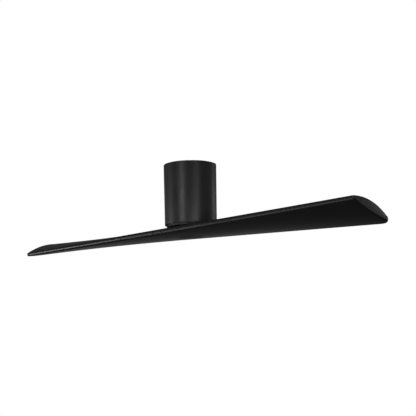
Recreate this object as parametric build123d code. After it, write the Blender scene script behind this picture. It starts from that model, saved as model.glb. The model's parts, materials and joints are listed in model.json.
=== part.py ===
import math
import os

from build123d import *

# Flush ceiling fan with one twisted double blade.
# Origin: middle of the bracket's top face, on the ceiling. Z is up and the blade lies along X.
# All sizes are millimetres; heights are negative because the fan hangs.

# housing
shell_top_r = 84.0
shell_draft = 1.7
shell_height = 193.5
shell_wall = 1.8
shell_gap = 1.0
shell_edge = 0.7
shell_screw_angle = 40.0
shell_screw_drop = 9.0
shell_screw_r = 1.95

# ceiling bracket
plate_thick = 2.5
skirt_drop = 14.0
skirt_wall = 2.0
skirt_play = 0.5
box_spacing = 88.9
slot_r = 2.75
slot_length = 16.0
cable_hole_r = 14.0

# hanger between bracket and motor
strap_thick = 3.0
strap_width = 50.0
hanger_screw_r = 2.5
hanger_screw_x = 15.0

# ball bearings, 17 x 40 x 12
bearing_bore_r = 8.5
bearing_outer_r = 20.0
bearing_width = 12.0
ball_r = 3.375
ball_count = 8
ring_wall = 3.7
race_play = 0.05
shield_thick = 0.5
shield_play = 0.3

# motor
shaft_thread_r = 8.0
shaft_flats = 13.0
shaft_hole_r = 4.0
shaft_collar_r = 12.0
shaft_collar_height = 12.0
stator_seat_r = 10.0
stator_room = 28.0
stator_height = 18.0
stator_teeth = 12
tooth_width = 7.0
coil_thick = 3.5
coil_overhang = 5.0
yoke_r = 28.0
air_gap = 0.7
magnet_thick = 4.5
magnet_count = 16
magnet_height = 24.0
flux_thick = 4.0
flux_height = 28.0
rotor_wall = 4.5
rim_wall = 3.5
rotor_floor = 4.5
boss_wall = 6.0
collar_inset = 5.8
collar_drop = 7.5
flange_thick = 4.0
rotor_screw_r = 1.5
rotor_screw_inset = 3.5
vent_r = 5.0

# joint between motor and blade
hub_r = 45.0
hub_thick = 8.0
hub_spigot_r = 15.0
hub_screw_r = 2.5
hub_screw_circle = 36.0
blade_screw_circle = 30.0
blade_screw_r = 2.5
pad_thick = 2.0
pocket_play = 1.5
spigot_play = 0.3
hole_play = 0.3

# blade
blade_span = 1320.0
blade_drop = 23.2
chord_middle = 196.8
chord_tip = 217.7
edge_middle = 18.6
edge_tip = 13.1
crown_middle = 3.0
crown_tip = 14.8
belly_middle = 5.8
belly_tip = 5.1
tip_angle = 12.75
twist_bow = 0.086
middle_blend = 0.12
corner_lead_r = 7.5
corner_trail_r = 36.0
tip_round = 4.0
body_stations = 27
tip_stations = 13
tip_turn = 84.0

# cover under the blade
cover_r = 39.7
cover_play = 0.3
cover_ledge = 2.0
cover_thick = 3.0
cover_post_r = 6.0
post_play = 0.1
screw_room = 7.0

# driver box and connections
box_half_x = 45.0
box_height = 35.0
box_wall = 2.5
box_rise = 27.0
board_thick = 1.6
terminal_size = (36.0, 16.0, 14.0)

# heights that follow from the sizes above
shell_top_z = -shell_gap
shell_foot_z = shell_top_z - shell_height
shell_foot_r = shell_top_r - shell_draft
skirt_outer_r = shell_top_r - shell_wall - skirt_play
collar_r = shell_foot_r - collar_inset
rotor_bottom_z = shell_foot_z - collar_drop
rotor_inside_z = rotor_bottom_z + rotor_floor
shaft_end_z = rotor_inside_z + 4.0
lower_bearing_z = rotor_inside_z + 8.5
stator_room_z = lower_bearing_z + bearing_width
upper_bearing_z = stator_room_z + stator_room
shaft_collar_z = upper_bearing_z + bearing_width
web_z = shaft_collar_z + shaft_collar_height
stator_mid_z = stator_room_z + stator_room / 2 - 2.0
flux_r = collar_r - 2 * rotor_wall - 1.5
magnet_r = flux_r - flux_thick
stator_r = magnet_r - magnet_thick - air_gap
boss_r = bearing_outer_r + boss_wall
joint_z = stator_mid_z
rotor_screw_circle = collar_r - rotor_screw_inset
blade_mid_z = shell_foot_z - blade_drop
hub_z = rotor_bottom_z - hub_thick
pocket_z = hub_z - pad_thick
blade_under_z = blade_mid_z - edge_middle / 2 - belly_middle
ledge_z = blade_under_z + cover_thick
seat_z = ledge_z + screw_room
strap_y = 0.6 * shell_top_r
foot_y = 0.79 * shell_top_r
box_z = web_z + strap_thick + box_rise


def disc(r, low, high):
    return Pos(0, 0, (low + high) / 2) * Cylinder(r, high - low)


def ring(inner_r, outer_r, low, high):
    return disc(outer_r, low, high) - disc(inner_r, low - 1, high + 1)


def block(x0, x1, y0, y1, z0, z1):
    return Pos((x0 + x1) / 2, (y0 + y1) / 2, (z0 + z1) / 2) * Box(x1 - x0, y1 - y0, z1 - z0)


def turned(points):
    return revolve(Plane.XZ * make_face(Polyline(*points, close=True)), axis=Axis.Z)


def around(shape, count, start=0.0):
    return [Rot(0, 0, start + 360.0 * i / count) * shape for i in range(count)]


def save(name, *shapes):
    solids = [s for shape in shapes for s in shape.solids()]
    piece = solids[0] if len(solids) == 1 else Compound(children=solids)
    piece.label = name
    export_step(piece, os.path.join("parts", name + ".step"))


def pan_screw(r, head_r, head_high, length, head_z):
    """Screw standing up from a head whose bearing face is at head_z."""
    head = fillet(disc(head_r, head_z - head_high, head_z).edges().group_by(Axis.Z)[0], head_high * 0.4)
    socket = Pos(0, 0, head_z - head_high + 0.8) * extrude(RegularPolygon(r * 0.9, 6), 1.6, both=True)
    return head + disc(r, head_z, head_z + length) - socket


def flat_screw(r, head_r, head_deep, length, face_z):
    """Countersunk screw standing up from a head flush with face_z."""
    body = turned([(0, face_z), (head_r, face_z), (r, face_z + head_deep), (r, face_z + length), (0, face_z + length)])
    socket = Pos(0, 0, face_z) * extrude(RegularPolygon(r * 0.8, 6), head_deep * 0.8)
    return body - socket


# ---- housing and ceiling bracket


def radial_tool(r_near, r_far, radius, angle, far_radius=None):
    """Round tool lying along a radius at the shell screws' height."""
    length = r_far - r_near
    far = radius if far_radius is None else far_radius
    tool = Cylinder(radius, length) if far == radius else Cone(radius, far, length)
    return Rot(0, 0, angle) * Pos((r_near + r_far) / 2, 0, -shell_screw_drop) * Rot(0, 90, 0) * tool


def shell_screw_angles():
    return [shell_screw_angle, shell_screw_angle + 180.0]


def shell_face_r():
    return shell_top_r - shell_draft * (shell_screw_drop - shell_gap) / shell_height


def housing_shell():
    t, f = shell_top_r, shell_foot_r
    outline = [(t - shell_wall, shell_top_z), (t, shell_top_z), (f, shell_foot_z), (f - shell_wall, shell_foot_z)]
    shell = turned(outline)
    shell = fillet(shell.edges().group_by(Axis.Z)[0], shell_edge)
    face = shell_face_r()
    for angle in shell_screw_angles():
        shell -= radial_tool(face - 5, face + 5, shell_screw_r + hole_play, angle)
        shell -= radial_tool(face - 1.6, face + 0.4, shell_screw_r, angle, shell_screw_r + 2.0)
    return shell


def shell_screws():
    face = shell_face_r()
    screws = []
    for angle in shell_screw_angles():
        shank = radial_tool(skirt_outer_r - skirt_wall - 3, face - 1.6, shell_screw_r, angle)
        head = radial_tool(face - 1.6, face - 0.1, shell_screw_r, angle, shell_screw_r + 1.5)
        screws.append(shank + head - radial_tool(face - 1.2, face + 1, 1.0, angle))
    return screws


def ceiling_slot(side):
    middle = side * box_spacing / 2
    slot = SlotOverall(slot_length, 2 * slot_r)
    return Pos(middle, 0, -plate_thick) * extrude(slot, plate_thick * 3, both=True)


def hanger_screw_points():
    y = (strap_y + foot_y) / 2
    return [(x, side * y) for x in (-hanger_screw_x, hanger_screw_x) for side in (-1, 1)]


def ceiling_bracket():
    pan = turned(
        [
            (0, 0),
            (skirt_outer_r - 1.5, 0),
            (skirt_outer_r, -1.5),
            (skirt_outer_r, -skirt_drop),
            (skirt_outer_r - skirt_wall, -skirt_drop),
            (skirt_outer_r - skirt_wall, -plate_thick),
            (0, -plate_thick),
        ]
    )
    pan -= disc(cable_hole_r, -10, 10)
    pan -= ceiling_slot(-1)
    pan -= ceiling_slot(1)
    for x, y in hanger_screw_points():
        pan -= Pos(x, y, 0) * disc(hanger_screw_r, -10, 10)
    pan -= Pos(*earth_point(), 0) * disc(2.0, -10, 10)
    for x, y in terminal_points():
        pan -= Pos(x, y, 0) * disc(1.25, -10, 10)
    for angle in shell_screw_angles():
        pan -= radial_tool(skirt_outer_r - 10, skirt_outer_r + 5, shell_screw_r, angle)
    return pan


def hanger_frame():
    half = strap_width / 2
    low, high = web_z, -plate_thick
    frame = block(-half, half, -strap_y, strap_y, low, low + strap_thick)
    for side in (-1, 1):
        leg = block(-half, half, strap_y - strap_thick, strap_y, low, high)
        foot = block(-half, half, strap_y, foot_y, high - strap_thick, high)
        piece = leg + foot
        frame += piece if side > 0 else mirror(piece, about=Plane.XZ)
    bends = frame.edges().filter_by(Axis.X).group_by(Axis.Z)[0]
    frame = fillet(bends, strap_thick)
    hole = Circle(shaft_thread_r + 0.1) & Rectangle(40, shaft_flats + 0.2)
    frame -= Pos(0, 0, low - 5) * extrude(hole, 20)
    for x, y in hanger_screw_points():
        frame -= Pos(x, y, 0) * disc(hanger_screw_r + hole_play, high - 10, high + 5)
    for x, z in box_screw_points():
        frame -= Pos(x, 0, z) * Rot(90, 0, 0) * Cylinder(1.7, 4 * strap_y)
    window = Pos(0, 0, (box_z + box_height + high) / 2) * Box(strap_width - 18, 4 * strap_y, 22)
    return frame - window


def hanger_screws():
    high = -plate_thick - strap_thick
    screw = pan_screw(hanger_screw_r, 4.75, 3.0, strap_thick + plate_thick - 0.3, high)
    return [Pos(x, y, 0) * screw for x, y in hanger_screw_points()]


def earth_point():
    return (-0.38 * shell_top_r, 0.33 * shell_top_r)


def earth_screw():
    return Pos(*earth_point(), 0) * pan_screw(2.0, 4.0, 2.6, plate_thick - 0.3, -plate_thick)


# ---- mains terminals


def terminal_y():
    return cable_hole_r + 6.0 + terminal_size[1] / 2


def terminal_points():
    return [(side * (terminal_size[0] / 2 - 3), terminal_y()) for side in (-1, 1)]


def terminal_ways():
    return [-9.0, 0.0, 9.0]


def terminal_block():
    long, wide, tall = terminal_size
    y = terminal_y()
    base = block(-long / 2, long / 2, y - wide / 2, y + wide / 2, -plate_thick - tall, -plate_thick)
    base = fillet(base.edges().filter_by(Axis.Z), 1.5)
    for x in terminal_ways():
        base -= Pos(x, y, -plate_thick - tall / 2) * Rot(90, 0, 0) * Cylinder(2.2, wide * 2)
        base -= Pos(x, y, 0) * disc(2.0, -plate_thick - tall - 1, -plate_thick - tall / 2)
    for x, _ in terminal_points():
        base -= Pos(x, y, 0) * disc(1.6, -plate_thick - tall - 1, 1)
        base -= Pos(x, y, 0) * disc(2.9, -plate_thick - tall - 1, -plate_thick - tall + 3)
    return base


def terminal_screws():
    low = -plate_thick - terminal_size[2]
    clamps = []
    for x in terminal_ways():
        pin = disc(1.9, low + 0.5, low + 5.0) - Pos(0, 0, low + 0.5) * Box(5, 0.6, 1.4)
        clamps.append(Pos(x, terminal_y(), 0) * pin)
    return clamps


def terminal_fixings():
    low = -plate_thick - terminal_size[2]
    screw = pan_screw(1.25, 2.6, 1.8, terminal_size[2] + plate_thick - 3.4, low + 3.0)
    return [Pos(x, y, 0) * screw for x, y in terminal_points()]


# ---- driver box between the hanger's legs


def box_half_y():
    return strap_y - strap_thick


def box_screw_points():
    z = box_z + box_height / 2
    return [(-15.0, z), (15.0, z)]


def driver_case():
    hx, hy = box_half_x, box_half_y()
    case = block(-hx, hx, -hy, hy, box_z, box_z + box_height)
    case = fillet(case.edges().filter_by(Axis.Z), 3.0)
    case -= block(-hx + box_wall, hx - box_wall, -hy + box_wall, hy - box_wall, box_z + box_wall, box_z + box_height + 1)
    for x, y in board_posts():
        case += Pos(x, y, 0) * disc(3.0, box_z + box_wall, box_z + box_wall + 5.0)
    for x, z in box_screw_points():
        for side in (-1, 1):
            y0, y1 = sorted((side * (hy - box_wall - 6), side * (hy - box_wall)))
            case += block(x - 4, x + 4, y0, y1, z - 4, z + 4)
        case -= Pos(x, 0, z) * Rot(90, 0, 0) * Cylinder(1.5, 4 * hy)
    return case - Pos(0, 0, box_z + box_height) * Rot(0, 90, 0) * Cylinder(4.0, 4 * hx)


def driver_lid():
    hx, hy = box_half_x, box_half_y()
    top = box_z + box_height
    lid = fillet(block(-hx, hx, -hy, hy, top, top + box_wall).edges().filter_by(Axis.Z), 3.0)
    inner_x, inner_y = hx - box_wall - 0.2, hy - box_wall - 0.2
    lip = block(-inner_x, inner_x, -inner_y, inner_y, top - 3.0, top)
    lip -= block(-inner_x + 1.6, inner_x - 1.6, -inner_y + 1.6, inner_y - 1.6, top - 4.0, top)
    lip -= block(-hx, hx, -5.0, 5.0, top - 4.0, top)
    return lid + lip


def board_posts():
    x, y = box_half_x - 10.0, box_half_y() - 14.0
    return [(sx * x, sy * y) for sx in (-1, 1) for sy in (-1, 1)]


def board_z():
    return box_z + box_wall + 5.0


def driver_board():
    hx, hy = box_half_x - 4.0, box_half_y() - 9.5
    board = block(-hx, hx, -hy, hy, board_z(), board_z() + board_thick)
    return fillet(board.edges().filter_by(Axis.Z), 2.0)


def board_capacitors():
    top = board_z() + board_thick
    can = fillet(disc(6.0, top, top + 18.0).edges().group_by(Axis.Z)[-1], 1.0)
    return [Pos(x, y, 0) * can for x, y in [(-26, -16), (-26, 0), (-26, 16)]]


def board_coil():
    top = board_z() + board_thick
    return Pos(16, 8, 0) * ring(5.0, 10.0, top, top + 9.0)


def board_heat_sink():
    top = board_z() + board_thick
    sink = block(4, 34, -22, -8, top, top + 3.0)
    for x in range(5, 34, 4):
        sink += block(x, x + 1.4, -22, -8, top + 3.0, top + 16.0)
    return sink


def box_screws():
    screw = pan_screw(1.5, 3.0, 2.0, strap_thick + box_wall + 4.0, 0)
    screws = []
    for x, z in box_screw_points():
        screws.append(Pos(x, -strap_y, z) * Rot(-90, 0, 0) * screw)
        screws.append(Pos(x, strap_y, z) * Rot(90, 0, 0) * screw)
    return screws


# ---- shaft, stator and bearings


def motor_shaft():
    top = web_z + strap_thick + 14.0
    groove_z = lower_bearing_z - 1.2
    shaft = turned(
        [
            (shaft_hole_r, top),
            (shaft_thread_r - 1, top),
            (shaft_thread_r, top - 1),
            (shaft_thread_r, web_z),
            (shaft_collar_r, web_z),
            (shaft_collar_r, shaft_collar_z),
            (bearing_bore_r, shaft_collar_z),
            (bearing_bore_r, upper_bearing_z),
            (stator_seat_r, upper_bearing_z),
            (stator_seat_r, stator_room_z),
            (bearing_bore_r, stator_room_z),
            (bearing_bore_r, lower_bearing_z),
            (bearing_bore_r - 0.6, lower_bearing_z),
            (bearing_bore_r - 0.6, groove_z),
            (bearing_bore_r, groove_z),
            (bearing_bore_r, shaft_end_z),
            (0, shaft_end_z),
            (0, shaft_end_z + 6),
            (shaft_hole_r, shaft_end_z + 10),
        ]
    )
    for side in (-1, 1):
        y0, y1 = sorted((side * shaft_flats / 2, side * 20))
        shaft -= block(-20, 20, y0, y1, web_z, top + 1)
    exit_z = upper_bearing_z - 3.0
    return shaft - Pos(10, 0, exit_z) * Rot(0, 90, 0) * Cylinder(2.2, 20)


def shaft_washer():
    low = web_z + strap_thick
    return ring(shaft_thread_r + 0.2, 15.0, low, low + 2.0)


def shaft_nut():
    low = web_z + strap_thick + 2.0
    nut = Pos(0, 0, low) * extrude(RegularPolygon(13.8, 6), 8.0)
    nut &= turned([(0, low), (12.6, low), (13.9, low + 1), (13.9, low + 7), (12.6, low + 8), (0, low + 8)])
    return nut - disc(shaft_thread_r + 0.05, low - 1, low + 9)


def retaining_ring():
    high = lower_bearing_z
    clip = ring(bearing_bore_r - 0.6, bearing_bore_r + 2.4, high - 1.2, high)
    gap = block(0, 20, -2.5, 2.5, high - 3, high + 1)
    return clip - gap


def stator_tooth():
    low = stator_mid_z - stator_height / 2
    high = stator_mid_z + stator_height / 2
    stem = block(yoke_r - 2, stator_r - 2, -tooth_width / 2, tooth_width / 2, low, high)
    shoe = ring(stator_r - 3.0, stator_r, low, high)
    wide = 2 * stator_r * math.tan(math.radians(180.0 / stator_teeth - 2.0))
    wedge = Pos(0, 0, low) * extrude(
        make_face(Polyline((0, 0), (stator_r + 5, -wide / 2 - 1), (stator_r + 5, wide / 2 + 1), close=True)),
        stator_height,
    )
    return stem + (shoe & wedge)


def stator_core():
    low = stator_mid_z - stator_height / 2
    high = stator_mid_z + stator_height / 2
    core = ring(stator_seat_r, yoke_r, low, high)
    for tooth in around(stator_tooth(), stator_teeth):
        core += tooth
    for hole in around(Pos(19, 0, 0) * disc(2.5, low - 1, high + 1), 6, 15.0):
        core -= hole
    return core


def stator_windings():
    inner, outer = yoke_r + 3.0, stator_r - 4.5
    tall = stator_height / 2 + coil_overhang
    wide = tooth_width / 2 + coil_thick
    coil = block(inner, outer, -wide, wide, stator_mid_z - tall, stator_mid_z + tall)
    coil = fillet(coil.edges().filter_by(Axis.X), coil_thick)
    half = stator_height / 2
    coil -= block(
        inner - 1, outer + 1, -tooth_width / 2, tooth_width / 2, stator_mid_z - half, stator_mid_z + half
    )
    return around(coil, stator_teeth)


def pitch_r():
    return (bearing_bore_r + bearing_outer_r) / 2


def bearing_inner_ring(low):
    mid = low + bearing_width / 2
    body = ring(bearing_bore_r, bearing_bore_r + ring_wall, low, low + bearing_width)
    return body - Pos(0, 0, mid) * Torus(pitch_r(), ball_r + race_play)


def bearing_outer_ring(low):
    mid = low + bearing_width / 2
    body = ring(bearing_outer_r - ring_wall, bearing_outer_r, low, low + bearing_width)
    return body - Pos(0, 0, mid) * Torus(pitch_r(), ball_r + race_play)


def bearing_balls(low):
    mid = low + bearing_width / 2
    return around(Pos(pitch_r(), 0, mid) * Sphere(ball_r), ball_count)


def bearing_cage(low):
    mid = low + bearing_width / 2
    cage = ring(pitch_r() - 1.2, pitch_r() + 1.2, mid - 4.3, mid + 4.3)
    pocket = Pos(pitch_r(), 0, mid) * Rot(0, 90, 0) * Cylinder(ball_r + race_play, 8)
    for hole in around(pocket, ball_count):
        cage -= hole
    return cage


def bearing_shields(low):
    inner = bearing_bore_r + ring_wall + shield_play
    outer = bearing_outer_r - ring_wall
    high = low + bearing_width
    return [
        ring(inner, outer, low + 0.4, low + 0.4 + shield_thick),
        ring(inner, outer, high - 0.4 - shield_thick, high - 0.4),
    ]


# ---- rotor


def rotor_screw_points():
    return [0.0, 60.0, 120.0, 180.0, 240.0, 300.0]


def rotor_upper_shell():
    top = shaft_collar_z
    seat = bearing_outer_r
    inner_top = top - rotor_wall
    shell = turned(
        [
            (seat - 2.5, top + 1.5),
            (boss_r, top + 1.5),
            (boss_r, top),
            (flux_r + rim_wall, top),
            (flux_r + rim_wall, joint_z + flange_thick),
            (collar_r, joint_z + flange_thick),
            (collar_r, joint_z),
            (flux_r, joint_z),
            (flux_r, inner_top),
            (boss_r, inner_top),
            (boss_r, upper_bearing_z + 1.5),
            (seat, upper_bearing_z + 1.5),
            (seat, top),
            (seat - 2.5, top),
        ]
    )
    shell = fillet(shell.edges().filter_by(GeomType.CIRCLE).group_by(Axis.Z)[-2].sort_by(SortBy.RADIUS)[-1], 2.0)
    vent = Pos((boss_r + flux_r) / 2, 0, 0) * disc(vent_r, top - 10, top + 5)
    for hole in around(vent, 8):
        shell -= hole
    for angle in rotor_screw_points():
        shell -= Rot(0, 0, angle) * Pos(rotor_screw_circle, 0, 0) * disc(rotor_screw_r + 0.2, joint_z - 5, joint_z + 10)
    return shell


def rotor_lower_shell():
    ledge = stator_mid_z - flux_height / 2
    seat_low = lower_bearing_z - 1.0
    seat_high = stator_room_z - 1.5
    shell = turned(
        [
            (0, rotor_inside_z),
            (bearing_outer_r - 4, rotor_inside_z),
            (bearing_outer_r - 4, seat_low),
            (bearing_outer_r, seat_low),
            (bearing_outer_r, seat_high),
            (boss_r, seat_high),
            (boss_r, rotor_inside_z),
            (collar_r - rotor_wall, rotor_inside_z),
            (collar_r - rotor_wall, ledge - 3),
            (flux_r - 2, ledge - 3),
            (flux_r - 2, ledge),
            (flux_r, ledge),
            (flux_r, joint_z),
            (collar_r, joint_z),
            (collar_r, rotor_bottom_z),
            (0, rotor_bottom_z),
        ]
    )
    shell = fillet(shell.edges().filter_by(GeomType.CIRCLE).group_by(Axis.Z)[0], 2.0)
    for angle in rotor_screw_points():
        shell -= Rot(0, 0, angle) * Pos(rotor_screw_circle, 0, 0) * disc(rotor_screw_r, joint_z - 12, joint_z + 1)
    for x, y in hub_screw_points():
        shell -= Pos(x, y, 0) * disc(hub_screw_r, rotor_bottom_z - 1, rotor_inside_z + 1)
    return shell


def rotor_screws():
    length = flange_thick + 8.0
    high = joint_z + flange_thick
    screw = Rot(180, 0, 0) * pan_screw(rotor_screw_r, 2.7, 2.0, length, -high)
    return [Rot(0, 0, angle) * Pos(rotor_screw_circle, 0, 0) * screw for angle in rotor_screw_points()]


def rotor_flux_ring():
    return ring(magnet_r, flux_r, stator_mid_z - flux_height / 2, stator_mid_z + flux_height / 2)


def rotor_magnets():
    low = stator_mid_z - magnet_height / 2
    high = stator_mid_z + magnet_height / 2
    band = ring(magnet_r - magnet_thick, magnet_r, low, high)
    half = 0.5 * (2 * math.pi * magnet_r / magnet_count - 1.2)
    reach = magnet_r + 5
    spread = half * reach / magnet_r
    wedge = make_face(Polyline((0, 0), (reach, -spread), (reach, spread), close=True))
    magnet = band & (Pos(0, 0, low) * extrude(wedge, high - low))
    return around(magnet, magnet_count)


def preload_washer():
    return ring(bearing_outer_r - 3.3, bearing_outer_r - 0.2, lower_bearing_z - 1.0, lower_bearing_z)


# ---- blade and the joint to the motor


def hub_screw_points():
    angles = [45.0, 135.0, 225.0, 315.0]
    return [(hub_screw_circle * math.cos(math.radians(a)), hub_screw_circle * math.sin(math.radians(a))) for a in angles]


def blade_screw_points():
    r = blade_screw_circle
    return [(r, 0), (0, r), (-r, 0), (0, -r)]


def blade_hub():
    hub = turned(
        [
            (0, rotor_bottom_z),
            (hub_r, rotor_bottom_z),
            (hub_r, hub_z + 1),
            (hub_r - 1, hub_z),
            (hub_spigot_r, hub_z),
            (hub_spigot_r, seat_z + 1),
            (hub_spigot_r - 1, seat_z),
            (0, seat_z),
        ]
    )
    hub -= disc(cover_post_r + post_play, seat_z - 1, hub_z + 3)
    for x, y in hub_screw_points():
        hub -= Pos(x, y, 0) * disc(hub_screw_r + hole_play, hub_z - 1, rotor_bottom_z + 1)
        hub -= Pos(x, y, hub_z + 1.5) * Cone(hub_screw_r + 2.6, hub_screw_r, 3.0)
    for x, y in blade_screw_points():
        hub -= Pos(x, y, 0) * disc(blade_screw_r, hub_z - 1, rotor_bottom_z + 1)
    return hub


def hub_screws():
    screw = flat_screw(hub_screw_r, hub_screw_r + 2.4, 2.8, hub_thick + rotor_floor - 0.7, hub_z + 0.1)
    return [Pos(x, y, 0) * screw for x, y in hub_screw_points()]


def blade_pad():
    pad = ring(hub_spigot_r + 1, hub_r - 1, pocket_z, hub_z)
    for x, y in blade_screw_points():
        pad -= Pos(x, y, 0) * disc(blade_screw_r + 0.5, pocket_z - 1, hub_z + 1)
    return pad


def share(x):
    """0 in the middle and 1 at the tip, rounded off in the middle."""
    s = abs(x) / (blade_span / 2)
    return (math.hypot(s, middle_blend) - middle_blend) / (math.hypot(1, middle_blend) - middle_blend)


def between(middle, tip, x):
    return middle + (tip - middle) * share(x)


def corner_cut(x, r):
    """How far a corner of radius r, rounded at the tip, takes a side in at station x."""
    along = max(0.0, abs(x) - (blade_span / 2 - r))
    return r - math.sqrt(max(0.0, r * r - along * along))


def twist(x):
    s = x / (blade_span / 2)
    return math.radians(tip_angle) * s * (1 + twist_bow * (1 - abs(s)))


def station(x):
    """Closed outline of the blade across X: belly, right edge, crown, left edge."""
    r = between(edge_middle, edge_tip, x) / 2 - corner_cut(x, tip_round)
    crown = between(crown_middle, crown_tip, x)
    belly = between(belly_middle, belly_tip, x)
    half = between(chord_middle, chord_tip, x) / 2
    lead, trail = corner_cut(x, corner_lead_r), corner_cut(x, corner_trail_r)
    left = -half + (lead if x > 0 else trail)
    right = half - (trail if x > 0 else lead)
    a, b = left + r, right - r
    c, s = math.cos(twist(x)), math.sin(twist(x))

    def at(u, v):
        return Vector(x, u * c + v * s, blade_mid_z - u * s + v * c)

    middle = (a + b) / 2
    belly_edge = Edge.make_three_point_arc(at(a, -r), at(middle, -r - belly), at(b, -r))
    right_edge = Edge.make_three_point_arc(at(b, -r), at(right, 0), at(b, r))
    crown_edge = Edge.make_three_point_arc(at(b, r), at(middle, r + crown), at(a, r))
    left_edge = Edge.make_three_point_arc(at(a, r), at(left, 0), at(a, -r))
    return Wire([belly_edge, right_edge, crown_edge, left_edge])


def blade_middle():
    """Everything between the two rounded tips."""
    end = blade_span / 2 - corner_trail_r
    places = [end * (2 * i / (body_stations - 1) - 1) for i in range(body_stations)]
    return Solid.make_loft([station(x) for x in places])


def blade_tip(side):
    """One tip, with its stations drawn closer together as the corner turns."""
    start = blade_span / 2 - corner_trail_r
    turns = [tip_turn * i / (tip_stations - 1) for i in range(tip_stations)]
    places = [side * (start + corner_trail_r * math.sin(math.radians(a))) for a in turns]
    return Solid.make_loft([station(x) for x in sorted(places)])


def blade_body():
    return blade_middle() + blade_tip(1) + blade_tip(-1)


def blade():
    low = blade_under_z - 10
    body = blade_body() - disc(hub_r + pocket_play, pocket_z, pocket_z + 40)
    body -= disc(hub_spigot_r + spigot_play, low, pocket_z + 1)
    body -= disc(cover_r + cover_play, low, ledge_z)
    body -= disc(cover_r - cover_ledge, low, seat_z)
    for x, y in blade_screw_points():
        body -= Pos(x, y, 0) * disc(blade_screw_r + hole_play, low, pocket_z + 1)
    return body


def blade_washers():
    washer = ring(blade_screw_r + 0.2, 5.6, seat_z - 1.2, seat_z)
    return [Pos(x, y, 0) * washer for x, y in blade_screw_points()]


def blade_screws():
    head_z = seat_z - 1.2
    screw = pan_screw(blade_screw_r, 4.6, 3.2, rotor_bottom_z - 1.0 - head_z, head_z)
    return [Pos(x, y, 0) * screw for x, y in blade_screw_points()]


def cover_cap():
    flat = (chord_middle - edge_middle) / 2
    curve_r = (flat**2 + belly_middle**2) / (2 * belly_middle)
    belly = Pos(0, 0, blade_under_z + curve_r) * Rot(0, 90, 0) * Cylinder(curve_r, 4 * cover_r)
    rim = disc(cover_r, blade_under_z - 1, ledge_z) & belly
    post = disc(cover_post_r, ledge_z - 0.5, hub_z + 1)
    return rim + post


def main():
    os.makedirs("parts", exist_ok=True)
    save("ceiling_bracket", ceiling_bracket())
    save("housing_shell", housing_shell())
    save("shell_screws", *shell_screws())
    save("hanger_frame", hanger_frame())
    save("hanger_screws", *hanger_screws())
    save("earth_screw", earth_screw())
    save("terminal_block", terminal_block())
    save("terminal_clamp_screws", *terminal_screws())
    save("terminal_fixing_screws", *terminal_fixings())
    save("driver_case", driver_case())
    save("driver_lid", driver_lid())
    save("driver_board", driver_board())
    save("board_capacitors", *board_capacitors())
    save("board_coil", board_coil())
    save("board_heat_sink", board_heat_sink())
    save("driver_screws", *box_screws())
    save("motor_shaft", motor_shaft())
    save("shaft_washer", shaft_washer())
    save("shaft_nut", shaft_nut())
    save("retaining_ring", retaining_ring())
    save("stator_core", stator_core())
    save("stator_windings", *stator_windings())
    for name, low in (("upper", upper_bearing_z), ("lower", lower_bearing_z)):
        save(name + "_bearing_inner_ring", bearing_inner_ring(low))
        save(name + "_bearing_outer_ring", bearing_outer_ring(low))
        save(name + "_bearing_balls", *bearing_balls(low))
        save(name + "_bearing_cage", bearing_cage(low))
        save(name + "_bearing_shields", *bearing_shields(low))
    save("rotor_upper_shell", rotor_upper_shell())
    save("rotor_lower_shell", rotor_lower_shell())
    save("rotor_screws", *rotor_screws())
    save("rotor_flux_ring", rotor_flux_ring())
    save("rotor_magnets", *rotor_magnets())
    save("preload_washer", preload_washer())
    save("blade_hub", blade_hub())
    save("hub_screws", *hub_screws())
    save("blade_pad", blade_pad())
    save("blade", blade())
    save("blade_washers", *blade_washers())
    save("blade_screws", *blade_screws())
    save("cover_cap", cover_cap())


main()
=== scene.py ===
import json
import math

import bmesh
import bpy
from mathutils import Matrix, Vector


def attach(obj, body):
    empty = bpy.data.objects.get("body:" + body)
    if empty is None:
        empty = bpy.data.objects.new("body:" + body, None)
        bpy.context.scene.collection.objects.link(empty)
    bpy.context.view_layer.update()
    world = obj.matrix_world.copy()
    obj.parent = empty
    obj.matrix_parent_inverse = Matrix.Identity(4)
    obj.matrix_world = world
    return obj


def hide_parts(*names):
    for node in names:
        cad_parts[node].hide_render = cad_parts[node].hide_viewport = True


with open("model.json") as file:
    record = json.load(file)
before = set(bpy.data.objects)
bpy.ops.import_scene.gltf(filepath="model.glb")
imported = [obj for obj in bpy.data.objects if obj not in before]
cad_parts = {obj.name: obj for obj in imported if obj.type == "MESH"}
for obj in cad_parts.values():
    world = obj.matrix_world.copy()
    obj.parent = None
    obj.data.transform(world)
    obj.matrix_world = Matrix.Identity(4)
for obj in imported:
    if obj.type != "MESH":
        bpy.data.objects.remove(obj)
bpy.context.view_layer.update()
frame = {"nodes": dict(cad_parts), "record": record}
nodes = frame["nodes"]
print("frame loaded,", len(nodes), "nodes")

mm = 0.001


def startFinish(name):
    mat = bpy.data.materials.new(name)
    mat.use_nodes = True
    tree = mat.node_tree
    shader = tree.nodes["Principled BSDF"]
    coords = tree.nodes.new("ShaderNodeTexCoord")
    return mat, tree, shader, coords.outputs["Object"]


def noise(tree, coords, scale, detail=3.0, rough=0.5, stretch=None):
    tex = tree.nodes.new("ShaderNodeTexNoise")
    tex.inputs["Scale"].default_value = scale
    tex.inputs["Detail"].default_value = detail
    tex.inputs["Roughness"].default_value = rough
    if stretch:  # squeezes the pattern along an axis, for brushed and drawn metal
        mapping = tree.nodes.new("ShaderNodeMapping")
        mapping.inputs["Scale"].default_value = stretch
        tree.links.new(coords, mapping.inputs["Vector"])
        coords = mapping.outputs["Vector"]
    tree.links.new(coords, tex.inputs["Vector"])
    return tex.outputs["Fac"]


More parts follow.
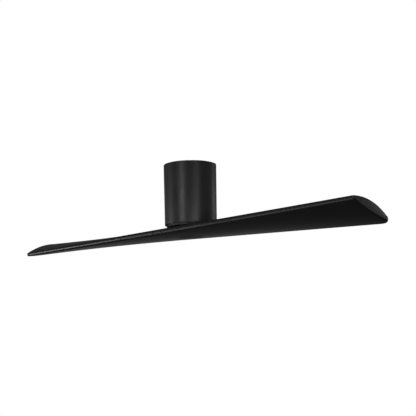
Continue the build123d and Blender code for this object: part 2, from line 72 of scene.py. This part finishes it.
def toRange(tree, value, low, high, fromLow=0.3, fromHigh=0.7):
    node = tree.nodes.new("ShaderNodeMapRange")
    node.inputs["From Min"].default_value = fromLow
    node.inputs["From Max"].default_value = fromHigh
    node.inputs["To Min"].default_value = low
    node.inputs["To Max"].default_value = high
    tree.links.new(value, node.inputs["Value"])
    return node.outputs["Result"]


def twoTone(tree, value, first, second):
    ramp = tree.nodes.new("ShaderNodeValToRGB")
    ramp.color_ramp.elements[0].position = 0.3
    ramp.color_ramp.elements[1].position = 0.7
    ramp.color_ramp.elements[0].color = (*first, 1)
    ramp.color_ramp.elements[1].color = (*second, 1)
    tree.links.new(value, ramp.inputs["Fac"])
    return ramp.outputs["Color"]


def addBump(tree, shader, height, strength, depth, under=None):
    bump = tree.nodes.new("ShaderNodeBump")
    bump.inputs["Strength"].default_value = strength
    bump.inputs["Distance"].default_value = depth
    tree.links.new(height, bump.inputs["Height"])
    if under:
        tree.links.new(under, bump.inputs["Normal"])
    tree.links.new(bump.outputs["Normal"], shader.inputs["Normal"])
    return bump.outputs["Normal"]


# powder coat: fine orange peel over a slow change of sheen
coatLook = {"dark": (0.0105, 0.0105, 0.011), "light": (0.0145, 0.0145, 0.015), "sheenLow": 0.34, "sheenHigh": 0.43,
            "driftSize": 22, "peelSize": 900, "peelDepth": 0.00004, "peelStrength": 0.22, "specular": 0.5}


def powderCoat(look):
    mat, tree, shader, coords = startFinish("satinPowderCoat")
    slow = noise(tree, coords, look["driftSize"], 2)
    peel = noise(tree, coords, look["peelSize"], 3)
    tree.links.new(twoTone(tree, slow, look["dark"], look["light"]), shader.inputs["Base Color"])
    tree.links.new(toRange(tree, slow, look["sheenLow"], look["sheenHigh"]), shader.inputs["Roughness"])
    shader.inputs["Specular IOR Level"].default_value = look["specular"]
    addBump(tree, shader, peel, look["peelStrength"], look["peelDepth"])
    return mat


# black lacquer over sanded wood: a faint long grain shows only in the gloss
lacquerLook = {"dark": (0.0085, 0.0085, 0.009), "light": (0.0115, 0.0115, 0.012), "sheenLow": 0.30, "sheenHigh": 0.36,
               "grain": (7, 160, 160), "grainStrength": 0.05, "grainDepth": 0.0001,
               "mist": 1100, "mistStrength": 0.03, "mistDepth": 0.00003}


def bladeLacquer(look):
    mat, tree, shader, coords = startFinish("satinBladeLacquer")
    grain = noise(tree, coords, 1.0, 4, 0.6, look["grain"])
    mist = noise(tree, coords, look["mist"], 2)
    tree.links.new(twoTone(tree, grain, look["dark"], look["light"]), shader.inputs["Base Color"])
    tree.links.new(toRange(tree, grain, look["sheenLow"], look["sheenHigh"]), shader.inputs["Roughness"])
    first = addBump(tree, shader, grain, look["grainStrength"], look["grainDepth"])
    addBump(tree, shader, mist, look["mistStrength"], look["mistDepth"], first)
    return mat


# moulded black plastic with a spark-eroded texture
mouldedLook = {"dark": (0.010, 0.010, 0.0105), "light": (0.014, 0.014, 0.0145), "sheenLow": 0.38, "sheenHigh": 0.5,
               "grainSize": 1600, "strength": 0.2}


def mouldedPlastic(name, look):
    mat, tree, shader, coords = startFinish(name)
    fine = noise(tree, coords, look["grainSize"], 2)
    slow = noise(tree, coords, 35, 2)
    tree.links.new(twoTone(tree, slow, look["dark"], look["light"]), shader.inputs["Base Color"])
    tree.links.new(toRange(tree, slow, look["sheenLow"], look["sheenHigh"]), shader.inputs["Roughness"])
    addBump(tree, shader, fine, look["strength"], 0.00003)
    return mat


# cast metal: pebbled skin from the mould, darker in the pits
def castMetal(name, dark, light, metallic=1.0, sheen=(0.42, 0.58), pebble=700, strength=0.35):
    mat, tree, shader, coords = startFinish(name)
    cells = tree.nodes.new("ShaderNodeTexVoronoi")
    cells.inputs["Scale"].default_value = pebble
    tree.links.new(coords, cells.inputs["Vector"])
    slow = noise(tree, coords, 60, 4)
    tree.links.new(twoTone(tree, slow, dark, light), shader.inputs["Base Color"])
    tree.links.new(toRange(tree, slow, sheen[0], sheen[1]), shader.inputs["Roughness"])
    shader.inputs["Metallic"].default_value = metallic
    addBump(tree, shader, cells.outputs["Distance"], strength, 0.00006)
    return mat


# drawn or turned metal: fine lines round the axis
def turnedMetal(name, dark, light, sheen=(0.22, 0.34), lines=(30, 30, 2600), strength=0.12):
    mat, tree, shader, coords = startFinish(name)
    streak = noise(tree, coords, 1.0, 2, 0.5, lines)
    slow = noise(tree, coords, 80, 3)
    tree.links.new(twoTone(tree, slow, dark, light), shader.inputs["Base Color"])
    tree.links.new(toRange(tree, streak, sheen[0], sheen[1]), shader.inputs["Roughness"])
    shader.inputs["Metallic"].default_value = 1.0
    addBump(tree, shader, streak, strength, 0.00002)
    return mat


# zinc plate: faint crystals and a slightly blue to yellow drift
def zincPlate(name):
    mat, tree, shader, coords = startFinish(name)
    cells = tree.nodes.new("ShaderNodeTexVoronoi")
    cells.inputs["Scale"].default_value = 260
    tree.links.new(coords, cells.inputs["Vector"])
    drift = noise(tree, coords, 28, 3)
    tree.links.new(twoTone(tree, drift, (0.50, 0.52, 0.56), (0.62, 0.60, 0.55)), shader.inputs["Base Color"])
    tree.links.new(toRange(tree, cells.outputs["Distance"], 0.26, 0.42, 0, 0.8), shader.inputs["Roughness"])
    shader.inputs["Metallic"].default_value = 1.0
    addBump(tree, shader, noise(tree, coords, 1500, 2), 0.1, 0.00002)
    return mat


# enamelled wire: round turns side by side
def woundWire(name, wire=0.0008):
    mat, tree, shader, coords = startFinish(name)
    turns = tree.nodes.new("ShaderNodeTexWave")
    turns.wave_type = "RINGS"
    turns.rings_direction = "Z"
    turns.wave_profile = "SIN"
    turns.inputs["Scale"].default_value = 0.314 / wire
    turns.inputs["Distortion"].default_value = 0.4
    tree.links.new(coords, turns.inputs["Vector"])
    slow = noise(tree, coords, 120, 3)
    tree.links.new(twoTone(tree, slow, (0.52, 0.17, 0.06), (0.66, 0.26, 0.10)), shader.inputs["Base Color"])
    tree.links.new(toRange(tree, turns.outputs["Fac"], 0.45, 0.25, 0, 1), shader.inputs["Roughness"])
    shader.inputs["Metallic"].default_value = 0.9
    addBump(tree, shader, turns.outputs["Fac"], 0.8, wire * 0.4)
    return mat


# stacked sheet steel: a line for each 0.5 mm sheet
def sheetStack(name, sheet=0.0005):
    mat, tree, shader, coords = startFinish(name)
    lines = tree.nodes.new("ShaderNodeTexWave")
    lines.wave_type = "BANDS"
    lines.bands_direction = "Z"
    lines.inputs["Scale"].default_value = 0.314 / sheet
    tree.links.new(coords, lines.inputs["Vector"])
    slow = noise(tree, coords, 90, 4)
    tree.links.new(twoTone(tree, slow, (0.20, 0.20, 0.21), (0.30, 0.29, 0.28)), shader.inputs["Base Color"])
    tree.links.new(toRange(tree, slow, 0.35, 0.55), shader.inputs["Roughness"])
    shader.inputs["Metallic"].default_value = 1.0
    addBump(tree, shader, lines.outputs["Fac"], 0.5, 0.00008)
    return mat


# solder mask over tracks
def boardMask(name):
    mat, tree, shader, coords = startFinish(name)
    tracks = tree.nodes.new("ShaderNodeTexBrick")
    tracks.inputs["Scale"].default_value = 140
    tracks.inputs["Mortar Size"].default_value = 0.06
    tracks.inputs["Color1"].default_value = (0.010, 0.085, 0.035, 1)
    tracks.inputs["Color2"].default_value = (0.012, 0.105, 0.045, 1)
    tracks.inputs["Mortar"].default_value = (0.03, 0.20, 0.09, 1)
    tree.links.new(coords, tracks.inputs["Vector"])
    tree.links.new(tracks.outputs["Color"], shader.inputs["Base Color"])
    tree.links.new(toRange(tree, noise(tree, coords, 300, 2), 0.25, 0.4), shader.inputs["Roughness"])
    addBump(tree, shader, tracks.outputs["Fac"], 0.3, 0.00005)
    return mat


terminalLook = {"dark": (0.62, 0.61, 0.57), "light": (0.72, 0.71, 0.67), "sheenLow": 0.3, "sheenHigh": 0.42,
                "grainSize": 1200, "strength": 0.12}
driverBoxLook = {"dark": (0.045, 0.045, 0.048), "light": (0.065, 0.065, 0.068), "sheenLow": 0.45, "sheenHigh": 0.6,
                 "grainSize": 1100, "strength": 0.3}
capacitorLook = {"dark": (0.008, 0.008, 0.03), "light": (0.012, 0.012, 0.045), "sheenLow": 0.12, "sheenHigh": 0.2,
                 "grainSize": 500, "strength": 0.06}
rubberLook = {"dark": (0.012, 0.012, 0.012), "light": (0.022, 0.021, 0.020), "sheenLow": 0.7, "sheenHigh": 0.85,
              "grainSize": 800, "strength": 0.4}

finish = {
    "black_powder_coat": powderCoat(coatLook),
    "black_lacquered_wood": bladeLacquer(lacquerLook),
    "black_plastic": mouldedPlastic("mouldedBlackCover", mouldedLook),
    "white_plastic": mouldedPlastic("terminalWhite", terminalLook),
    "grey_plastic": mouldedPlastic("driverBoxGrey", driverBoxLook),
    "can_sleeve": mouldedPlastic("capacitorSleeve", capacitorLook),
    "rubber": mouldedPlastic("padRubber", rubberLook),
    "black_cast_aluminium": castMetal("blackRotorCasting", (0.010, 0.010, 0.0105), (0.016, 0.016, 0.0165), 0.0,
                                      (0.45, 0.58)),
    "cast_aluminium": castMetal("bareCasting", (0.42, 0.42, 0.43), (0.56, 0.56, 0.57)),
    "magnet": castMetal("magnetCoating", (0.055, 0.055, 0.06), (0.085, 0.085, 0.09), 0.6, (0.35, 0.5), 1400, 0.2),
    "zinc_plated_steel": zincPlate("zincPlate"),
    "brass": turnedMetal("turnedBrass", (0.55, 0.38, 0.12), (0.68, 0.49, 0.18)),
    "copper_wire": woundWire("enamelledWire"),
    "lamination_steel": sheetStack("steelLaminations"),
    "ground_steel": turnedMetal("groundShaft", (0.48, 0.48, 0.49), (0.58, 0.58, 0.59), (0.14, 0.24)),
    "spring_steel": turnedMetal("springSteel", (0.24, 0.24, 0.26), (0.33, 0.33, 0.35), (0.28, 0.4)),
    "bearing_steel": turnedMetal("bearingSteel", (0.60, 0.60, 0.62), (0.68, 0.68, 0.70), (0.08, 0.16)),
    "green_board": boardMask("boardSolderMask"),
}
slotOf = {part["node"]: part["material_slot"] for part in frame["record"]["subparts"]}
for name, obj in nodes.items():
    obj.data.materials.clear()
    obj.data.materials.append(finish[slotOf[name]])
print("finishes made,", len(finish))


def addPiece(name, verts, faces, slotName, body, sharpAngle=32):
    mesh = bpy.data.meshes.new(name)
    mesh.from_pydata(verts, [], faces)
    bm = bmesh.new()
    bm.from_mesh(mesh)
    bmesh.ops.remove_doubles(bm, verts=bm.verts, dist=1e-6)
    bmesh.ops.recalc_face_normals(bm, faces=bm.faces)
    bm.to_mesh(mesh)
    bm.free()
    obj = bpy.data.objects.new(name, mesh)
    bpy.context.scene.collection.objects.link(obj)
    mesh.materials.append(finish[slotName])
    smooth(obj, sharpAngle)
    if body:
        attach(obj, body)
    return obj


def smooth(obj, sharpAngle):
    obj.data.shade_smooth()
    obj.data.set_sharp_from_angle(angle=math.radians(sharpAngle))


def lathe(profile, segments):
    # profile is a closed loop of (radius, height); points on the axis are shared
    verts, faces, rows = [], [], []
    for r, z in profile:
        if r < 1e-7:
            rows.append([len(verts)] * segments)
            verts.append((0, 0, z))
            continue
        rows.append(list(range(len(verts), len(verts) + segments)))
        for i in range(segments):
            a = 2 * math.pi * i / segments
            verts.append((r * math.cos(a), r * math.sin(a), z))
    for n in range(len(rows)):
        low, high = rows[n], rows[(n + 1) % len(rows)]
        for i in range(segments):
            j = (i + 1) % segments
            loop = [low[i], low[j], high[j], high[i]]
            loop = list(dict.fromkeys(loop))
            if len(loop) > 2:
                faces.append(loop)
    return verts, faces


def roundCorner(before, corner, after, radius, steps=5):
    # points that round off a corner of a profile
    p, c, q = Vector(before), Vector(corner), Vector(after)
    u, v = (p - c).normalized(), (q - c).normalized()
    half = u.angle(v) / 2
    cut = radius / math.tan(half)
    centre = c + (u + v).normalized() * radius / math.sin(half)
    start, end = c + u * cut - centre, c + v * cut - centre
    turn = start.angle_signed(end)
    return [tuple(centre + Matrix.Rotation(-turn * i / steps, 2) @ start) for i in range(steps + 1)]


def cutWith(obj, cutters):
    for cutter in cutters:
        mod = obj.modifiers.new("cut", "BOOLEAN")
        mod.operation = "DIFFERENCE"
        mod.solver = "EXACT"
        mod.object = cutter
    graph = bpy.context.evaluated_depsgraph_get()
    graph.update()
    mesh = bpy.data.meshes.new_from_object(obj.evaluated_get(graph))
    obj.modifiers.clear()
    obj.data = mesh
    for cutter in cutters:
        bpy.data.objects.remove(cutter)


def toolFrom(verts, faces, place=None):
    obj = addPiece("cutter", verts, faces, "black_plastic", None)
    if place:
        obj.matrix_world = place
    return obj


sleeveShape = {"topRadius": 84.0, "footRadius": 82.3, "wall": 1.8, "topZ": -1.0, "height": 193.5, "footRound": 0.8,
               "topRound": 0.5, "innerTopRound": 0.3, "innerFootRound": 0.7, "screwDrop": 9.0, "screwAngle": 40.0,
               "screwHole": 2.25, "sinkRadius": 3.95, "sinkDepth": 1.3, "sinkLip": 0.4, "toolReach": (6, 2),
               "segments": 256}


def makeSleeve(shape):
    top, foot, wall = shape["topRadius"] * mm, shape["footRadius"] * mm, shape["wall"] * mm
    high, low = shape["topZ"] * mm, (shape["topZ"] - shape["height"]) * mm
    corners = [(top - wall, high), (top, high), (foot, low), (foot - wall, low)]
    rounds = [shape[key] * mm for key in ("innerTopRound", "topRound", "footRound", "innerFootRound")]
    profile = []
    for i, (corner, radius) in enumerate(zip(corners, rounds)):
        profile += roundCorner(corners[i - 1], corner, corners[(i + 1) % 4], radius)
    sleeve = addPiece("housingSleeve", *lathe(profile, shape["segments"]), "black_powder_coat", "base")
    face = top - (top - foot) * (shape["screwDrop"] * mm + high) / (high - low)
    hole, sink = shape["screwHole"] * mm, shape["sinkRadius"] * mm
    inner, outer = (face - shape["toolReach"][0] * mm, face + shape["toolReach"][1] * mm)
    neck, lip = face - shape["sinkDepth"] * mm, face + shape["sinkLip"] * mm
    screwTool = [(0, inner), (hole, inner), (hole, neck), (sink, lip), (sink, outer), (0, outer)]
    tools = []
    for side in (0, 180):
        turn = Matrix.Rotation(math.radians(shape["screwAngle"] + side), 4, "Z")
        place = turn @ Matrix.Translation((0, 0, -shape["screwDrop"] * mm)) @ Matrix.Rotation(math.radians(90), 4, "Y")
        tools.append(toolFrom(*lathe(screwTool, 40), place))
    cutWith(sleeve, tools)
    smooth(sleeve, 32)
    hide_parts("housing_shell")


makeSleeve(sleeveShape)
print("housing sleeve turned")


bladeShape = {"span": 1320.0, "midZ": -217.7, "chord": (196.8, 217.7), "edge": (18.6, 13.1), "crown": (3.0, 14.8),
              "belly": (5.8, 5.1), "tipAngle": 12.75, "twistBow": 0.086, "blend": 0.12, "leadCorner": 7.5,
              "trailCorner": 36.0, "tipRound": 4.0, "lastTurn": 84.0, "stations": 150, "tipStations": 26,
              "flatSteps": 26, "noseSteps": 14}


def bladeShare(x, shape):
    s, b = abs(x) / (shape["span"] / 2), shape["blend"]
    return (math.hypot(s, b) - b) / (math.hypot(1, b) - b)


def bladeSize(key, x, shape):
    middle, tip = shape[key]
    return middle + (tip - middle) * bladeShare(x, shape)


def bladeTwist(x, shape):
    s = x / (shape["span"] / 2)
    return math.radians(shape["tipAngle"]) * s * (1 + shape["twistBow"] * (1 - abs(s)))


def bladeSection(x, shape):
    # sizes of the section across the blade at x: end of the left and right noses, nose radius, crown, belly
    def cornerCut(r):
        along = max(0.0, abs(x) - (shape["span"] / 2 - r))
        return r - math.sqrt(max(0.0, r * r - along * along))

    lead, trail = cornerCut(shape["leadCorner"]), cornerCut(shape["trailCorner"])
    wide = bladeSize("chord", x, shape) / 2
    left = -wide + (lead if x > 0 else trail)
    right = wide - (trail if x > 0 else lead)
    nose = bladeSize("edge", x, shape) / 2 - cornerCut(shape["tipRound"])
    return left, right, nose, bladeSize("crown", x, shape), bladeSize("belly", x, shape)


def bladePoint(x, u, v, shape):
    a = bladeTwist(x, shape)
    y = u * math.cos(a) + v * math.sin(a)
    z = shape["midZ"] - u * math.sin(a) + v * math.cos(a)
    return (x * mm, y * mm, z * mm)


def bladeOutline(x, shape):
    left, right, r, crown, belly = bladeSection(x, shape)
    a, b = left + r, right - r
    middle, reach = (a + b) / 2, (b - a) / 2
    flat, nose = shape["flatSteps"], shape["noseSteps"]
    points = []
    for i in range(flat):
        k = -1 + 2 * i / flat
        points.append((middle + k * reach, -r - belly * (1 - k * k)))
    for i in range(nose):
        t = -math.pi / 2 + math.pi * i / nose
        points.append((b + r * math.cos(t), r * math.sin(t)))
    for i in range(flat):
        k = 1 - 2 * i / flat
        points.append((middle + k * reach, r + crown * (1 - k * k)))
    for i in range(nose):
        t = math.pi / 2 + math.pi * i / nose
        points.append((a + r * math.cos(t), r * math.sin(t)))
    return [bladePoint(x, u, v, shape) for u, v in points]


def bladeStations(shape):
    half, corner = shape["span"] / 2, shape["trailCorner"]
    start, count = half - corner, shape["stations"]
    body = [start * (2 * i / count - 1) for i in range(count + 1)]
    turns = [math.radians(shape["lastTurn"] * (i + 1) / shape["tipStations"]) for i in range(shape["tipStations"])]
    tip = [start + corner * math.sin(t) for t in turns]
    return [-x for x in reversed(tip)] + body + tip


seatShape = {"pocketRadius": 46.5, "pocketZ": -212.0, "boreRadius": 15.3, "recessRadius": 37.7, "recessZ": -222.8,
             "rimRadius": 40.0, "rimZ": -229.8, "screwCircle": 30.0, "screwHole": 2.8, "screws": 4,
             "toolLow": -260.0, "toolHigh": -150.0, "toolOver": 1.0}


def makeBlade(shape, seat):
    xs = bladeStations(shape)
    verts, faces = [], []
    rings = [bladeOutline(x, shape) for x in xs]
    n = len(rings[0])
    for ring in rings:
        verts += ring
    for k in range(len(rings) - 1):
        for i in range(n):
            j = (i + 1) % n
            faces.append((k * n + i, k * n + j, (k + 1) * n + j, (k + 1) * n + i))
    for base in (0, (len(rings) - 1) * n):
        # each end is closed with strips from belly to crown, and a fan on each nose
        flat, nose = shape["flatSteps"], shape["noseSteps"]
        for i in range(flat):
            up = 2 * flat + nose - i
            faces.append((base + i, base + i + 1, base + up - 1, base + up))
        right = [base + flat + i for i in range(nose + 1)]
        left = [base + 2 * flat + nose + i for i in range(nose)] + [base]
        faces += [tuple(right), tuple(left)]
    blade = addPiece("doubleBlade", verts, faces, "black_lacquered_wood", "rotor")
    low, high, over = seat["toolLow"] * mm, seat["toolHigh"] * mm, seat["toolOver"] * mm
    rim, ledge = seat["rimRadius"] * mm, seat["rimZ"] * mm
    recess, floor = seat["recessRadius"] * mm, seat["recessZ"] * mm
    bore, pocket, top = seat["boreRadius"] * mm, seat["pocketZ"] * mm, seat["pocketRadius"] * mm
    profile = [(0, low), (rim, low), (rim, ledge), (recess, ledge), (recess, floor), (bore, floor),
               (bore, pocket), (top, pocket), (top, high), (0, high)]
    tools = [toolFrom(*lathe(profile, 160))]
    hole, circle = seat["screwHole"] * mm, seat["screwCircle"] * mm
    pin = [(0, floor - over), (hole, floor - over), (hole, pocket + over), (0, pocket + over)]
    for i in range(seat["screws"]):
        a = 2 * math.pi * i / seat["screws"]
        place = Matrix.Translation((circle * math.cos(a), circle * math.sin(a), 0))
        tools.append(toolFrom(*lathe(pin, 32), place))
    cutWith(blade, tools)
    smooth(blade, 30)
    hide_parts("blade")


makeBlade(bladeShape, seatShape)
print("double blade lofted")


coverShape = {"radius": 39.7, "ledgeZ": -229.8, "edgeRound": 0.5, "edgeRows": 4, "postRadius": 6.0, "postTop": -209.0,
              "postBevel": 0.8, "rings": 14, "segments": 144}


def bellyHeight(x, y, shape):
    # height of the blade's underside at a point of the plan
    a = bladeTwist(x, shape)
    left, right, r, crown, belly = bladeSection(x, shape)
    reach = (right - left) / 2 - r
    u = v = 0.0
    for _ in range(6):
        u = (y - v * math.sin(a)) / math.cos(a)
        v = -r - belly * (1 - (u / reach) ** 2)
    return shape["midZ"] - u * math.sin(a) + v * math.cos(a)


def makeCover(shape, blade):
    radius, edge = shape["radius"], shape["edgeRound"]
    rows = [((radius - edge) * math.sin(math.pi / 2 * i / shape["rings"]), 0.0) for i in range(1, shape["rings"] + 1)]
    for i in range(1, shape["edgeRows"] + 1):
        t = math.pi / 2 * i / shape["edgeRows"]
        rows.append((radius - edge + edge * math.sin(t), edge * (1 - math.cos(t))))
    verts, faces = [(0, 0, bellyHeight(0, 0, blade) * mm)], []
    n = shape["segments"]
    for r, lift in rows:
        for i in range(n):
            a = 2 * math.pi * i / n
            x, y = r * math.cos(a), r * math.sin(a)
            verts.append((x * mm, y * mm, (bellyHeight(x, y, blade) + lift) * mm))
    post, postTop, bevel, ledge = shape["postRadius"], shape["postTop"], shape["postBevel"], shape["ledgeZ"]
    inside = [(radius, ledge), (post, ledge), (post, postTop - bevel), (post - bevel, postTop)]
    for r, z in inside:
        for i in range(n):
            a = 2 * math.pi * i / n
            verts.append((r * math.cos(a) * mm, r * math.sin(a) * mm, z * mm))
    verts.append((0, 0, postTop * mm))
    count = len(rows) + len(inside)
    for i in range(n):
        j = (i + 1) % n
        faces.append((0, 1 + i, 1 + j))
        for k in range(count - 1):
            faces.append((1 + k * n + i, 1 + (k + 1) * n + i, 1 + (k + 1) * n + j, 1 + k * n + j))
        faces.append((1 + (count - 1) * n + i, len(verts) - 1, 1 + (count - 1) * n + j))
    cover = addPiece("bladeCover", verts, faces, "black_plastic", "rotor")
    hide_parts("cover_cap")


makeCover(coverShape, bladeShape)
print("cover fitted")


viewShape = {"azimuth": 38.919, "below": 7.793, "distance": 3.5399, "roll": 1.002, "lens": 96.88,
             "aimRight": -0.015122, "aimUp": -0.021952}


def makeCamera(view):
    turn, below, roll = math.radians(view["azimuth"]), math.radians(view["below"]), math.radians(view["roll"])
    target = Vector((0, 0, bladeShape["midZ"] * mm))
    back = Vector((math.sin(turn) * math.cos(below), -math.cos(turn) * math.cos(below), -math.sin(below)))
    right = Vector((math.cos(turn), math.sin(turn), 0))
    up = right.cross(-back)
    look = Matrix((right, up, -back))
    a, b = view["aimRight"], view["aimUp"]
    c, s = math.cos(roll), math.sin(roll)
    aim = Vector((0, 0, 1)).rotation_difference(Vector((c * a + s * b, -s * a + c * b, 1))).to_matrix()
    rows = Matrix.Rotation(roll, 3, "Z") @ aim @ look
    data = bpy.data.cameras.new("viewCamera")
    data.sensor_width = 36
    data.lens = view["lens"]
    data.clip_start, data.clip_end = 0.1, 200
    cam = bpy.data.objects.new("viewCamera", data)
    axes = Matrix((rows[0], rows[1], -rows[2])).transposed()
    cam.matrix_world = Matrix.Translation(target + back * view["distance"]) @ axes.to_4x4()
    bpy.context.scene.collection.objects.link(cam)
    bpy.context.scene.camera = cam


floorShape = {"height": -2.45, "half": 14.0, "tone": (0.80, 0.80, 0.79), "glow": 0.75}


def makeFloor(shape):
    h, z = shape["half"], shape["height"]
    mesh = bpy.data.meshes.new("paleFloor")
    mesh.from_pydata([(-h, -h, z), (h, -h, z), (h, h, z), (-h, h, z)], [], [(0, 1, 2, 3)])
    floor = bpy.data.objects.new("paleFloor", mesh)
    bpy.context.scene.collection.objects.link(floor)
    mat, tree, shader, coords = startFinish("paleFloor")
    slow = noise(tree, coords, 2, 3)
    tone = shape["tone"]
    tree.links.new(twoTone(tree, slow, tone, tuple(t * 1.03 for t in tone)), shader.inputs["Base Color"])
    shader.inputs["Roughness"].default_value = 0.85
    shader.inputs["Emission Color"].default_value = (*tone, 1)
    shader.inputs["Emission Strength"].default_value = shape["glow"]
    mesh.materials.append(mat)
    floor.visible_glossy = floor.visible_diffuse = False  # the black finish would show the floor as grey


# direction is degrees to the right of the camera as seen from the fan, and height above the horizon
studioLamps = {
    "leftBack": {"direction": -97, "height": 2, "away": 3.4, "size": (0.7, 2.2), "power": 0.45, "spread": 60},
    "leftFront": {"direction": -36, "height": 0, "away": 3.2, "size": (0.55, 2.4), "power": 2.6, "spread": 60},
    "rightFront": {"direction": 28, "height": 0, "away": 3.2, "size": (0.45, 2.4), "power": 1.1, "spread": 60},
    "rightBack": {"direction": 121, "height": 2, "away": 4.5, "size": (0.9, 2.4), "power": 1.0, "spread": 60},
    "edgeLeft": {"direction": -95, "height": -16, "away": 2.45, "size": (0.8, 0.8), "power": 3.6, "spread": 90},
    "edgeRight": {"direction": -65, "height": -45, "away": 2.5, "size": (0.9, 0.9), "power": 1.9, "spread": 90},
    "corner": {"direction": 12, "height": -14, "away": 2.6, "size": (0.5, 0.5), "power": 1.3, "spread": 60},
    "below": {"direction": 0, "height": -89, "away": 2.0, "size": (1.2, 1.2), "power": 0.9, "spread": 120},
    "overhead": {"direction": 60, "height": 86, "away": 3.0, "size": (1.6, 1.6), "power": 12.0, "spread": 120},
}


lampTint = (1, 0.955, 0.985)
lampTarget = Vector((0, 0, -0.16))


def makeLamps(lamps, view):
    toCamera = math.radians(view["azimuth"] - 90)
    for name, lamp in lamps.items():
        data = bpy.data.lights.new(name, "AREA")
        data.shape = "RECTANGLE"
        data.size, data.size_y = lamp["size"]
        data.energy = lamp["power"]
        data.color = lampTint
        data.spread = math.radians(lamp["spread"])
        a, e = toCamera + math.radians(lamp["direction"]), math.radians(lamp["height"])
        way = Vector((math.cos(a) * math.cos(e), math.sin(a) * math.cos(e), math.sin(e)))
        obj = bpy.data.objects.new(name, data)
        obj.location = lampTarget + way * lamp["away"]
        obj.rotation_euler = way.to_track_quat("Z", "Y").to_euler()
        obj.visible_camera = False
        bpy.context.scene.collection.objects.link(obj)


# brightness of the room from straight down (0) over the horizon (0.5) to straight up (1), near side and far side
roomLight = {"seen": (1, 1, 1),
             "near": {0.0: 0.010, 0.3: 0.022, 0.47: 0.075, 0.53: 0.20, 0.62: 0.20, 0.8: 0.07, 1.0: 0.06},
             "far": {0.0: 0.012, 0.25: 0.022, 0.35: 0.05, 0.42: 0.14, 0.48: 0.32, 0.54: 0.25, 0.62: 0.09, 1.0: 0.06}}


def heightRamp(tree, height, steps):
    ramp = tree.nodes.new("ShaderNodeValToRGB")
    for _ in range(len(steps) - 2):
        ramp.color_ramp.elements.new(0.5)
    for element, place in zip(ramp.color_ramp.elements, steps):
        element.position = place
        element.color = (*(steps[place] * tint for tint in lampTint), 1)
    tree.links.new(height, ramp.inputs["Fac"])
    return ramp.outputs["Color"]


def makeRoomLight(room, view):
    world = bpy.data.worlds.new("studio")
    bpy.context.scene.world = world
    world.use_nodes = True
    tree = world.node_tree
    tree.nodes.clear()
    coords = tree.nodes.new("ShaderNodeTexCoord")
    split = tree.nodes.new("ShaderNodeSeparateXYZ")
    tree.links.new(coords.outputs["Generated"], split.inputs["Vector"])
    height = toRange(tree, split.outputs["Z"], 0, 1, -1, 1)
    side = tree.nodes.new("ShaderNodeVectorMath")
    side.operation = "DOT_PRODUCT"
    turn = math.radians(view["azimuth"])
    side.inputs[1].default_value = (math.sin(turn), -math.cos(turn), 0)
    tree.links.new(coords.outputs["Generated"], side.inputs[0])
    blend = tree.nodes.new("ShaderNodeMix")
    blend.data_type = "RGBA"
    tree.links.new(toRange(tree, side.outputs["Value"], 0, 1, -0.7, 0.2), blend.inputs["Factor"])
    tree.links.new(heightRamp(tree, height, room["far"]), blend.inputs["A"])
    tree.links.new(heightRamp(tree, height, room["near"]), blend.inputs["B"])
    lit, seen = tree.nodes.new("ShaderNodeBackground"), tree.nodes.new("ShaderNodeBackground")
    tree.links.new(blend.outputs["Result"], lit.inputs["Color"])
    seen.inputs["Color"].default_value = (*room["seen"], 1)
    path, mix = tree.nodes.new("ShaderNodeLightPath"), tree.nodes.new("ShaderNodeMixShader")
    out = tree.nodes.new("ShaderNodeOutputWorld")
    tree.links.new(path.outputs["Is Camera Ray"], mix.inputs["Fac"])
    tree.links.new(lit.outputs["Background"], mix.inputs[1])
    tree.links.new(seen.outputs["Background"], mix.inputs[2])
    tree.links.new(mix.outputs["Shader"], out.inputs["Surface"])


makeCamera(viewShape)
makeFloor(floorShape)
makeLamps(studioLamps, viewShape)
makeRoomLight(roomLight, viewShape)
bpy.context.scene.view_settings.view_transform = "Standard"
print("camera, floor and lamps placed")
